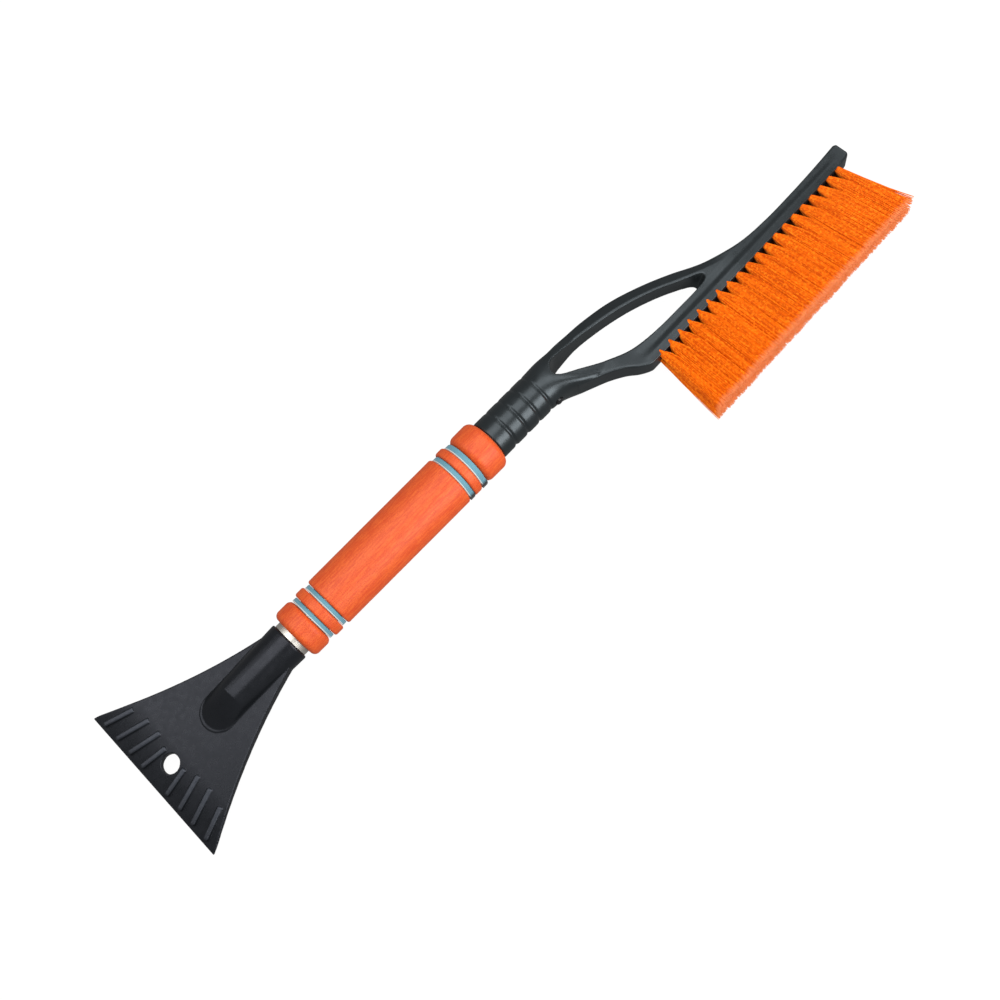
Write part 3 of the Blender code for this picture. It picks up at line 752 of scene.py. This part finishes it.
def make_boss():
    """Tapered boss of the handle socket, with a nose that slopes down to the blade's face."""
    bm = bmesh.new()
    rings = ((MOUTH_X, MOUTH_RADIUS - MOUTH_CHAMFER), (MOUTH_X - MOUTH_CHAMFER, MOUTH_RADIUS),
             (BOSS_END_X, BOSS_END_RADIUS))
    for x, radius in rings:
        for k in range(ROUND_STEPS):
            angle = 2 * pi * k / ROUND_STEPS
            bm.verts.new((x, radius * cos(angle), radius * sin(angle)))
    for u, y in nose_arc(NOSE_RADIUS):
        for z in (-NOSE_SINK, NOSE_SINK - BLADE_THICK):
            bm.verts.new(blade_point(u, y, z))
    hull = bmesh.ops.convex_hull(bm, input=bm.verts)
    inside = {v for v in hull["geom_interior"] if isinstance(v, bmesh.types.BMVert)}
    bmesh.ops.delete(bm, geom=list(inside), context="VERTS")
    return face_out(mesh_object("boss", bm))


def make_nose_lip():
    """Low step round the foot of the nose. It starts under the boss."""
    start = NOSE_CENTRE_U - 0.0164
    outline = [*nose_arc(NOSE_RADIUS + NOSE_LIP), (start, -NOSE_RADIUS), (start, NOSE_RADIUS)]
    return loft("lip", [[blade_point(u, y, z) for u, y in outline] for z in (-0.0015, NOSE_LIP)])


def make_ribs():
    """One bar with chamfered edges for each rib, fanned about the blade's centre line. It ends
    round towards the scraping edge and blunter towards the handle."""
    ribs = []
    half = RIB_WIDTH / 2
    low_taper, high_taper = (half * share for share in RIB_TAPERS)
    profile = ((-1.0, -RIB_ROOT), (-1.0, RIB_PROUD - RIB_CHAMFER), (-RIB_TOP, RIB_PROUD),
               (RIB_TOP, RIB_PROUD), (1.0, RIB_PROUD - RIB_CHAMFER), (1.0, -RIB_ROOT))
    for side in (-1, 1):
        for k, length in enumerate(RIB_LENGTHS):
            offset = side * RIB_PITCH * (k + 1)
            lean = side * radians(RIB_LEANS[k])
            turn = Matrix.Rotation(-lean, 3, "Z")
            middle = RIB_END + length / 2
            at = Vector((middle * cos(lean) - BLADE_LENGTH, offset - middle * sin(lean), 0.0))
            sections = []
            for j in range(9):
                bulge = sin(pi / 2 * min(1.0, j / 4, (8 - j) / 4 + RIB_BLUNTNESS))
                reach = (-length / 2 + low_taper * (1 - cos(pi / 2 * j / 4)) if j <= 4
                         else length / 2 - high_taper * (8 - j) / 4)
                sink = RIB_CHAMFER * (1 - bulge)
                section = [at + turn @ Vector((reach, half * bulge * y, z - sink)) for y, z in profile]
                sections.append([blade_point(-p.x, p.y, p.z) for p in section])
            ribs.append(loft(f"rib_{side}_{k}", sections))
    return ribs


def true_blade_face(head):
    """Even out the moulded blade's face. Gives each point's height over the flat face and how far
    it lies from the scraping edge."""
    points = vertices(head)
    x, y, z = (points - np.array(BLADE_ROOT)).T
    rise = z * cos(BLADE_BEND) - x * sin(BLADE_BEND)
    along = -x * cos(BLADE_BEND) - z * sin(BLADE_BEND)
    off = blade_top(along) - rise
    near = 1 - smooth_step(np.abs(off), FACE_TRUED, 2 * FACE_TRUED)
    near = near * (along > 0) * (np.abs(y) < blade_half_width(along) - FACE_MARGIN)
    normal = np.array((-sin(BLADE_BEND), 0.0, cos(BLADE_BEND)))
    set_vertices(head, points + (off * near)[:, None] * normal)
    return rise, BLADE_LENGTH - along


def make_scraper_head(surface):
    spigot_radius = TUBE_RADIUS - TUBE_WALL - GAP
    spigot = rod("spigot", spigot_radius, (MOUTH_X - 0.01, 0, 0), (SPIGOT_END, 0, 0), ROUND_STEPS)
    u = BLADE_LENGTH - HANG_HOLE_FROM_EDGE
    collar_foot, collar_top = (blade_point(u, 0, z) for z in (-HANG_HOLE_DEPTH, -0.0028))
    collar = rod("collar", HANG_HOLE_RADIUS + RIM_WALL, collar_foot, collar_top, 72)
    blade = combine(make_blade(), collar, "UNION")
    below, above = (blade_point(u, 0, z) for z in (-0.01, 0.01))
    hole = rod("hang_hole", HANG_HOLE_RADIUS, below, above, 72)
    combine(blade, hole, "DIFFERENCE")
    bodies = [blade, make_boss(), make_nose_lip(), spigot, *make_ribs()]
    head = mould(join("scraper_head_moulding", bodies), SCRAPER_VOXEL, SCRAPER_SOFTENING)
    combine(head, pin_hole(), "DIFFERENCE", "MANIFOLD")
    rise, edge = true_blade_face(head)
    # painted highlight on the rib tops, weakest at the scraping edge
    rib_tops = smooth_step(rise, *HIGHLIGHT_RISE) * (edge < HIGHLIGHT_ZONE)
    painted_rib_highlight = HIGHLIGHT_LEAST + (1 - HIGHLIGHT_LEAST) * smooth_step(edge, *HIGHLIGHT_FADE)
    attribute(head, "painted_rib_highlight", rib_tops * painted_rib_highlight)
    lay(head, "scraper_head", "handle", surface)


# ------------------------ brush frame
def frame_prism(outline):
    """Flat piece of the given outline, from a filled 2D curve made a mesh."""
    curve = bpy.data.curves.new("brush_frame", "CURVE")
    curve.dimensions = "2D"
    curve.fill_mode = "BOTH"
    curve.extrude = FRAME_THICK / 2 - FRAME_ROUNDING
    curve.bevel_depth = FRAME_ROUNDING
    curve.bevel_resolution = 2
    curve.offset = -FRAME_ROUNDING
    spline = curve.splines.new("POLY")
    spline.points.add(len(outline) - 1)
    for point, (x, y) in zip(spline.points, outline):
        point.co = (x, y, 0.0, 1.0)
    spline.use_cyclic_u = True
    source = new_object("brush_frame_curve", curve)
    bm = bmesh.new()
    bm.from_mesh(evaluated_mesh(source))
    bpy.data.objects.remove(source, do_unlink=True)
    bmesh.ops.remove_doubles(bm, verts=bm.verts, dist=0.00001)
    return face_out(mesh_object("brush_frame_moulding", bm))


def frame_outline():
    points = [*smooth_line(FRAME_TOP), *FRAME_TIP, *smooth_line(FRAME_HEEL)]
    return [(p[0], p[1]) for p in points if p[0] > FRAME_START]


def loop_cutter():
    """The opening between the arms. It is longer at the front than at the back."""
    sections = []
    reach = NECK_RADIUS + 0.004
    face = FRAME_THICK / 2 + 0.001
    for z, end in ((-reach, LOOP_END_BACK), (-face, LOOP_END_BACK),
                   (face, LOOP_END_FRONT), (reach, LOOP_END_FRONT)):
        line = smooth_line([*LOOP_UPPER, *end, *LOOP_LOWER, LOOP_UPPER[0]], 4)[:-1]
        sections.append([(p[0], p[1], z) for p in line])
    return loft("loop_opening", sections)


def neck_rings(angles):
    """Rings round the handle's axis from the neck's mouth to its last groove. The grooves are
    deepest on the bristles' side."""
    mouth_length, mouth_depth = NECK_MOUTH
    mouth = NECK_RADIUS - mouth_depth
    rings = [[(NECK_START, mouth * cos(a), mouth * sin(a)) for a in angles]]
    start = NECK_START + mouth_length
    steps = 120
    for k in range(steps + 1):
        x = start + (SHOULDER_WIDENS[0] - start) * k / steps
        groove = sum(exp(-((x - at) / NECK_GROOVE_WIDTH) ** 2) for at in NECK_GROOVES)
        ring = []
        for a in angles:
            radius = NECK_RADIUS - NECK_GROOVE_DEPTH * groove * (1 - NECK_GROOVE_BIAS * (1 + cos(a)))
            ring.append((x, radius * cos(a), radius * sin(a)))
        rings.append(ring)
    return rings


def shoulder_rings(angles):
    """Rings that pass from the round neck to the frame's outline and thickness."""
    rings = []
    steps = 40
    by_width, by_height = SHOULDER_SQUARE
    start, end = SHOULDER_WIDENS[0], SHOULDER_FLATTENS[1]
    for k in range(1, steps + 1):
        x = start + (end - start) * k / steps
        widened = smooth_step(x, *SHOULDER_WIDENS)
        flattened = smooth_step(x, *SHOULDER_FLATTENS)
        top = NECK_RADIUS + (line_height(FRAME_TOP, x) - NECK_RADIUS) * widened
        low = -NECK_RADIUS + (line_height(FRAME_HEEL[::-1], x) + NECK_RADIUS) * widened
        height = NECK_RADIUS + (FRAME_THICK / 2 - NECK_RADIUS) * flattened - 0.0002
        power = 2 / (2 + by_width * widened + by_height * flattened)
        ring = []
        for a in angles:
            across = copysign(abs(cos(a)) ** power, cos(a))
            up = copysign(abs(sin(a)) ** power, sin(a))
            ring.append((x, (top + low) / 2 + (top - low) / 2 * across, height * up))
        rings.append(ring)
    return rings


def make_neck():
    angles = [2 * pi * k / 96 for k in range(96)]
    return loft("neck", neck_rings(angles) + shoulder_rings(angles))


def tuft_frame():
    """Matrix of the block's face: X along the rows from the first tuft, -Y out of the face."""
    at = Matrix.Translation((TUFT_FIRST_X, TUFT_FACE_Y, 0.0))
    return at @ Matrix.Rotation(TUFT_FACE_TILT, 4, "Z")


def tuft_holes():
    """Cutters for the holes of both rows, from 2 mm outside the block's face."""
    holes = []
    for z in (TUFT_ROW_Z, -TUFT_ROW_Z):
        for column in range(TUFT_COUNT):
            ends = [tuft_frame() @ Vector((column * TUFT_PITCH, y, z)) for y in (-0.002, TUFT_DEPTH)]
            holes.append(rod("tuft_hole", TUFT_ROOT_RADIUS + GAP, *ends, 24))
    return join("tuft_holes", holes)


def shape_faces(frame_obj):
    """Slope the long arm's faces down to its outer edge, dish and roll the block's faces, and sink
    all the faces round the loop a little."""
    points = vertices(frame_obj)
    x, y, z = points.T
    inner = line_height([*LOOP_UPPER, *ARM_INTO_BLOCK], x)
    outer = line_height(FRAME_TOP, x)
    across = np.clip((y - inner) / (outer - inner), 0.0, 1.0)
    slope = np.clip((across - ARM_RIDGE) / (1 - ARM_RIDGE), 0.0, 1.0)
    depth = y - (TUFT_FACE_Y + np.tan(TUFT_FACE_TILT) * (x - TUFT_FIRST_X))
    off_middle = np.clip((depth - CHANNEL_MIDDLE) / CHANNEL_HALF_WIDTH, -1.0, 1.0)
    channel = np.cos(off_middle * pi / 2) ** 2
    roll = 1 - smooth_step(depth, *BLOCK_ROLL_DEPTHS)
    fall = (ARM_SLOPE * slope * within(x, LONG_ARM)
            + (BLOCK_DISH * channel + BLOCK_ROLL * roll) * within(x, BLOCK)
            + BLOCK_STEP * within(x, LOOP))
    points[:, 2] = z * (1 - fall / (FRAME_THICK / 2))
    set_vertices(frame_obj, points)


def make_brush_frame(surface):
    body = frame_prism(frame_outline())
    combine(body, make_neck(), "UNION")
    combine(body, loop_cutter(), "DIFFERENCE")
    mould(body, FRAME_VOXEL, FRAME_SOFTENING)
    shape_faces(body)
    bore = rod("bore", BORE_RADIUS, (NECK_START - 0.01, 0, 0), (BORE_END, 0, 0), ROUND_STEPS)
    for cutter in (bore, button_hole(), tuft_holes()):
        combine(body, cutter, "DIFFERENCE", "MANIFOLD")
    lay(body, "brush_frame", "brush_head", surface, 50)


# ------------------------ bristles
def bristle_lines(row, column, rng):
    """Centre lines of one tuft's bristles in the frame of the block's face: (bristle, step, xyz).
    They leave a round hole and spread to fill the tuft's share of the brush, sooner next to the
    other row. Also how far along and how deep in the shade between the rows each point is."""
    along = column / (TUFT_COUNT - 1)
    full = TUFT_LENGTH_HEEL + (TUFT_LENGTH_TIP - TUFT_LENGTH_HEEL) * along
    full = full - rng.uniform(0, TUFT_LENGTH_STRAY)
    number = np.arange(BRISTLES)
    radius = np.sqrt((number + 0.5) / BRISTLES)
    angle = number * GOLDEN_ANGLE + rng.uniform(0, 2 * pi)
    disc = radius[:, None] * np.stack((np.cos(angle), np.sin(angle)), axis=1)
    square = disc / np.maximum(np.abs(np.cos(angle)), np.abs(np.sin(angle)))[:, None]
    square = np.clip(square + rng.normal(0, BRISTLE_STRAY, square.shape), -1, 1)
    inward = smooth_step(-row * disc[:, 1:], *TUFT_INNER_SIDE)
    end = {0: -1, TUFT_COUNT - 1: 1}.get(column, 0)
    outward = smooth_step(end * disc[:, :1], *TUFT_OUTER_SIDE)
    flare = TUFT_FLARE_HEEL + (TUFT_FLARE_TIP - TUFT_FLARE_HEEL) * along
    flare = flare * rng.uniform(*TUFT_FLARE_VARIES)
    flare = flare + (TUFT_INNER_FLARE - flare) * inward
    flare = flare + (full - flare) * outward

    length = full - BRISTLE_TRIM * rng.uniform(0, 1, BRISTLES) ** 2
    t = np.linspace(0, 1, BRISTLE_STEPS + 1) ** BRISTLE_STEP_GROWTH
    depth = -BRISTLE_SINK + t[None, :] * (length[:, None] + BRISTLE_SINK)
    out = np.clip(depth, 0, None) / full
    flared = np.clip(depth / flare, 0, 1)
    spread = flared * (1 + TUFT_FLARE_EASE * (1 - flared))
    fan = 1 + (TUFT_FAN - 1) * out
    middle = TUFT_PITCH * (TUFT_COUNT - 1) / 2
    root = TUFT_ROOT_RADIUS - BRISTLE_RADIUS
    cell = (TUFT_PITCH * fan - GAP) / 2 - BRISTLE_RADIUS
    x = middle + (column * TUFT_PITCH - middle) * fan
    x = x + disc[:, :1] * root * (1 - spread) + square[:, :1] * cell * spread
    x = x + rng.normal(0, BRISTLE_LEAN, (BRISTLES, 1)) * out
    if end > 0:
        x = x + TUFT_END_HOOK * outward * out**4
    widest = TUFT_TIP_DEPTH - TUFT_THINNER * (1 - out)
    centre = TUFT_ROW_Z + (widest / 2 - TUFT_ROW_Z) * spread
    reach = root + (widest / 2 - BRISTLE_RADIUS - root) * spread
    z = row * centre + reach * (disc[:, 1:] * (1 - spread) + square[:, 1:] * spread)
    phase = rng.uniform(0, 2 * pi, (BRISTLES, 2, 1))
    wave = rng.uniform(*BRISTLE_WAVES, (BRISTLES, 1))
    x = x + BRISTLE_CRIMP * spread * np.sin(2 * pi * depth / wave + phase[:, 0])
    z = z + 0.5 * BRISTLE_CRIMP * spread * np.sin(2 * pi * depth / wave + phase[:, 1])
    shade = inward * (1 - outward) * (1 - smooth_step(depth, *SHADE_DEPTHS))
    return np.stack((x, -depth, z), axis=2), t, shade


def make_tuft(row, row_name, column, surface):
    rng = np.random.default_rng(100 * (row + 1) + column)
    lines, t, shade = bristle_lines(row, column, rng)
    corners = np.array([(1, 0, 0), (0, 0, 1), (-1, 0, 0), (0, 0, -1)], float) * BRISTLE_RADIUS
    rings = lines[:, :, None, :] + corners[None, None, :, :]
    matrix = np.array(tuft_frame())
    points = rings.reshape(-1, 3) @ matrix[:3, :3].T + matrix[:3, 3]
    steps = BRISTLE_STEPS + 1
    faces = []
    for b in range(BRISTLES):
        start = b * steps * 4
        for s in range(BRISTLE_STEPS):
            faces += strip(4, start + s * 4, start + s * 4 + 4)
        end = start + BRISTLE_STEPS * 4
        faces += [(start + 3, start + 2, start + 1, start), (end, end + 1, end + 2, end + 3)]
    name = f"tuft_{row_name}_{column + 1:02d}"
    tuft = add_mesh(name + "_bristles", points, faces)
    attribute(tuft, "tone", np.repeat(rng.uniform(0, 1, BRISTLES), steps * 4))
    attribute(tuft, "along", np.tile(np.repeat(t, 4), BRISTLES))
    attribute(tuft, "shade", np.repeat(shade.ravel(), 4))
    lay(tuft, name, "brush_head", surface, 50)


# ------------------------ release button
def make_button(surface):
    """Plunger with a domed tip and a flange that keeps it in the tube."""
    flange_out, flange_in = BUTTON_FLANGE_Y
    dome = [(BUTTON_TIP_Y + BUTTON_DOME * (1 - sin(t)), BUTTON_RADIUS * cos(t))
            for t in (pi / 2 * k / 10 for k in range(10))]
    profile = [(flange_in, AXIS_BORE), (flange_in, BUTTON_FLANGE_RADIUS),
               (flange_out, BUTTON_FLANGE_RADIUS), (flange_out, BUTTON_RADIUS),
               *dome, (BUTTON_TIP_Y, AXIS_BORE)]
    button = turned("release_button_plunger", profile, 48)
    button.data.transform(Matrix.Translation((BUTTON_X, 0, 0)) @ Matrix.Rotation(pi / 2, 4, "Z"))
    lay(face_out(button), "release_button", "release_button", surface, 40)


def make_spring(surface):
    """Bent wire spring behind the button: from the button's flange round a bend to the tube's far
    wall, towards which it is pressed together."""
    wall = TUBE_RADIUS - TUBE_WALL - 2 * GAP - SPRING_WIRE
    rest = BUTTON_FLANGE_Y[1] + 2 * GAP + SPRING_WIRE
    bend_x = BUTTON_X - SPRING_WIDTH
    points = [(BUTTON_X + 0.003, rest), (BUTTON_X - 0.002, rest), (bend_x + 0.002, -0.0012),
              (bend_x, 0.0006), (bend_x + 0.0012, 0.0026), (BUTTON_X - 0.014, wall - 0.0006),
              (BUTTON_X + 0.001, wall)]
    line = smooth_line([(x, y, 0.0) for x, y in points], 8)
    rings = []
    for before, p, after in zip([line[0], *line], line, [*line[1:], line[-1]]):
        way = (after - before).normalized()
        side = Vector((-way.y, way.x, 0.0))
        rings.append([p + SPRING_WIRE * (cos(a) * side + sin(a) * Vector((0, 0, 1)))
                      for a in (2 * pi * k / 16 for k in range(16))])
    spring = loft("button_spring_wire", rings)
    lay(spring, "button_spring", "handle", surface, 50)
    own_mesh(spring)


# ------------------------ studio
CAMERA_LENS = 43.2
CAMERA_AT = (-0.1617, -0.3357, 0.7306)
CAMERA_TURN = (23.6014, 10.7821, -45.2831)             # degrees
SOFTBOXES = (                                          # place in the tool frame, size, watts
    ((-0.480, 0.930, 1.20), (0.36, 1.00), 2.7),
    ((-0.075, 0.050, 1.20), (0.45, 1.10), 4.1),
    ((0.505, 0.075, 1.20), (0.71, 0.85), 5.0),
    ((1.650, 0.350, 1.20), (0.50, 0.90), 3.6),
)
SIDE_LIGHT = ((0.375, -0.60, 0.32), (0.60, 0.45), 4.6)
SIDE_LIGHT_TARGET = (0.25, -0.03, 0.0)
WORLD_GREY = 0.2
FILL_GREY = 0.55                                       # what matt surfaces see all round
SOFTBOX_DIFFUSE = 0.60                                 # how much the softboxes add to that
SKY_GREY = 0.9
FLOOR_GLOW = 0.97
FLOOR_ALBEDO = 0.06
FLOOR_HALF = 6.0


def make_camera():
    data = bpy.data.cameras.new("camera")
    data.lens = CAMERA_LENS
    data.clip_start, data.clip_end = 0.01, 20.0
    camera = new_object("camera", data)
    camera.location = CAMERA_AT
    camera.rotation_euler = [radians(a) for a in CAMERA_TURN]
    bpy.context.scene.camera = camera


def area_light(name, at, size, power, target=None):
    """Rectangular lamp that faces the target, or straight down in the tool frame."""
    data = bpy.data.lights.new(name, "AREA")
    data.shape = "RECTANGLE"
    data.size, data.size_y = size
    data.energy = power
    data.diffuse_factor = SOFTBOX_DIFFUSE
    light = new_object(name, data)
    light.location = TOOL @ Vector(at)
    light.rotation_euler = TOOL.to_euler()
    if target:
        way = TOOL @ Vector(target) - light.location
        light.rotation_euler = way.to_track_quat("-Z", "Y").to_euler()
    light.visible_camera = False


def make_world():
    """Surroundings: dim in reflections, lighter as a fill for matt surfaces, pale for the eye."""
    world = bpy.data.worlds.new("studio")
    bpy.context.scene.world = world
    world.use_nodes = True
    nodes, links = world.node_tree.nodes, world.node_tree.links
    backdrop = nodes["Background"]
    backdrop.inputs["Color"].default_value = (WORLD_GREY, WORLD_GREY, WORLD_GREY, 1.0)
    seen = nodes.new("ShaderNodeLightPath").outputs
    for ray, grey in (("Is Diffuse Ray", FILL_GREY), ("Is Camera Ray", SKY_GREY)):
        other = nodes.new("ShaderNodeBackground")
        other.inputs["Color"].default_value = (grey, grey, grey, 1.0)
        mix = nodes.new("ShaderNodeMixShader")
        links.new(seen[ray], mix.inputs["Fac"])
        links.new(backdrop.outputs[0], mix.inputs[1])
        links.new(other.outputs[0], mix.inputs[2])
        backdrop = mix
    links.new(backdrop.outputs[0], nodes["World Output"].inputs["Surface"])


def make_floor():
    corners = [(FLOOR_HALF * x, FLOOR_HALF * y, 0) for x, y in ((-1, -1), (1, -1), (1, 1), (-1, 1))]
    floor = add_mesh("floor", corners, [(0, 1, 2, 3)])
    surface = Surface("floor", (FLOOR_ALBEDO,) * 3, 0.9, specular=0.0)
    surface.set("Emission Color", (1.0, 1.0, 1.0, 1.0))
    surface.set("Emission Strength", FLOOR_GLOW)
    floor.data.materials.append(surface.material)
    floor.visible_diffuse = False
    floor.visible_glossy = False


def make_studio():
    make_camera()
    for number, softbox in enumerate(SOFTBOXES):
        area_light(f"softbox_{number + 1}", *softbox)
    area_light("side_light", *SIDE_LIGHT, SIDE_LIGHT_TARGET)
    make_world()
    make_floor()
    bpy.context.scene.view_settings.view_transform = "Standard"


# ------------------------ build
make_studio()
metal = tube_metal()
make_tube(metal)
make_grip(orange_foam(), blue_band())
make_scraper_head(scraper_plastic())
make_brush_frame(frame_plastic())
nylon = bristle_nylon()
for row, row_name in ((1, "front"), (-1, "back")):
    for column in range(TUFT_COUNT):
        make_tuft(row, row_name, column, nylon)
make_button(button_plastic())
steel_finish = steel()
make_spring(steel_finish)
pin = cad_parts["head_cross_pin"]
pin.data.materials.clear()
pin.data.materials.append(steel_finish)
